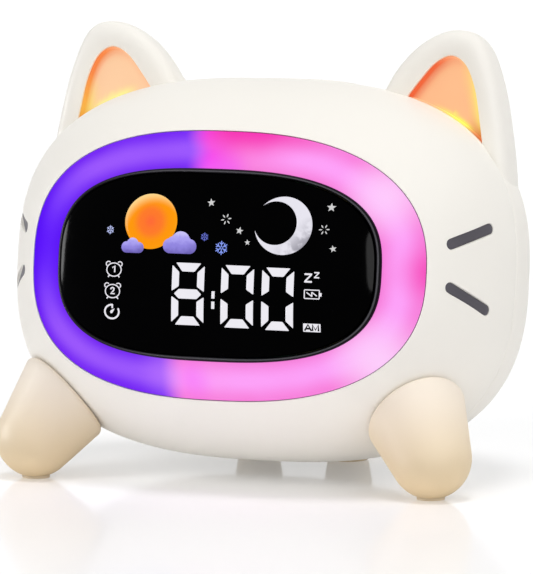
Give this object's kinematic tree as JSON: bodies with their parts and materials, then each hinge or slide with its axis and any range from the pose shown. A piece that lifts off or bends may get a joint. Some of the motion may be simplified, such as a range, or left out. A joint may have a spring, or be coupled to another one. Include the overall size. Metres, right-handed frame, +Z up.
{
  "type": "alarm clock",
  "caption": "Cat-shaped kids alarm clock: rounded head casing with ears and feet, glowing ring round a dark display, lit ears, keys, speaker and charging socket.",
  "frame": {"origin": "on the table under the middle of the clock's bounding box", "axes": "+X to the right seen from the front, +Y to the back, +Z up; the display faces -Y"},
  "size_m": [0.1501, 0.1034, 0.1292],
  "materials": {
    "cream_shell": "soft-touch cream ABS with a fine satin grain",
    "foot_cream": "satin cream plastic, a little warmer than the shell",
    "ring_diffuser": "translucent diffuser lit violet on one side and pink on the other",
    "bezel_grey": "dark grey gloss plastic with a soft bevel",
    "smoked_window": "black smoked acrylic, high gloss",
    "ear_orange": "translucent orange plastic lit from inside",
    "whisker_grey": "dark grey satin inlay",
    "rubber_cream": "matte cream silicone rubber",
    "button_grey": "grey silicone keys",
    "lit_white": "white diffuser plastic",
    "black_block": "black moulded plastic",
    "board_green": "green solder mask on glass epoxy",
    "chip_black": "black epoxy",
    "tray_white": "white reflector plastic",
    "led_yellow": "yellow phosphor window",
    "steel_screw": "zinc plated steel",
    "socket_steel": "nickel plated steel",
    "magnet_dark": "black plated steel",
    "paper_cone": "black pressed paper",
    "cell_blue": "blue shrink sleeve",
    "coin_steel": "stainless steel",
    "lead_red": "red PVC insulation",
    "plug_white": "white nylon"
  },
  "bodies": {
    "root": {"front_shell": "cream_shell", "rear_shell": "cream_shell", "foot_left": "foot_cream", "foot_right": "foot_cream", "foot_pads": "rubber_cream", "foot_screws": "steel_screw", "rear_feet": "rubber_cream", "light_ring": "ring_diffuser", "window_bezel": "bezel_grey", "display_window": "smoked_window", "digit_block": "black_block", "digit_segments": "lit_white", "icon_diffusers": "lit_white", "display_board": "board_green", "ring_tray": "tray_white", "ring_board": "board_green", "ring_leds": "led_yellow", "board_screws": "steel_screw", "snooze_switch": "chip_black", "top_key_board": "board_green", "key_board": "board_green", "button_switches": "chip_black", "usb_socket": "socket_steel", "usb_tongue": "chip_black", "power_switch_body": "socket_steel", "speaker_basket": "magnet_dark", "speaker_cone": "paper_cone", "speaker_magnet": "magnet_dark", "speaker_screws": "steel_screw", "battery_cell": "cell_blue", "battery_cradle": "black_block", "main_board": "board_green", "board_chips": "chip_black", "board_plugs": "plug_white", "coin_cell": "coin_steel", "coin_clip": "chip_black", "battery_lead": "lead_red", "speaker_lead": "lead_red", "key_lead": "lead_red", "case_screws": "steel_screw", "ear_boards": "board_green", "ear_leds": "led_yellow", "ear_lens_left": "ear_orange", "ear_lens_right": "ear_orange", "whiskers_left": "whisker_grey", "whiskers_right": "whisker_grey"},
    "snooze_key_body": {"snooze_key": "cream_shell", "snooze_plunger": "chip_black"},
    "power_knob_body": {"power_knob": "chip_black"},
    "mode_button_body": {"mode_button": "button_grey", "mode_plunger": "chip_black"},
    "up_button_body": {"up_button": "button_grey", "up_plunger": "chip_black"},
    "light_button_body": {"light_button": "button_grey", "light_plunger": "chip_black"},
    "down_button_body": {"down_button": "button_grey", "down_plunger": "chip_black"},
    "alarm_button_body": {"alarm_button": "button_grey", "alarm_plunger": "chip_black"}
  },
  "joints": [
    {"name": "snooze_press", "type": "slide", "parent": "root", "child": "snooze_key_body", "axis": [0, -0.134, -0.991], "range_m": [0, 0.001], "stiffness_N_per_m": 1500},
    {"name": "power_slide", "type": "slide", "parent": "root", "child": "power_knob_body", "axis": [1, 0, 0], "range_m": [0, 0.003]},
    {"name": "mode_press", "type": "slide", "parent": "root", "child": "mode_button_body", "axis": [0, -0.991, 0.134], "range_m": [0, 0.0008], "stiffness_N_per_m": 800},
    {"name": "up_press", "type": "slide", "parent": "root", "child": "up_button_body", "axis": [0, -0.991, 0.134], "range_m": [0, 0.0008], "stiffness_N_per_m": 800},
    {"name": "light_press", "type": "slide", "parent": "root", "child": "light_button_body", "axis": [0, -0.991, 0.134], "range_m": [0, 0.0008], "stiffness_N_per_m": 800},
    {"name": "down_press", "type": "slide", "parent": "root", "child": "down_button_body", "axis": [0, -0.991, 0.134], "range_m": [0, 0.0008], "stiffness_N_per_m": 800},
    {"name": "alarm_press", "type": "slide", "parent": "root", "child": "alarm_button_body", "axis": [0, -0.991, 0.134], "range_m": [0, 0.0008], "stiffness_N_per_m": 800}
  ]
}
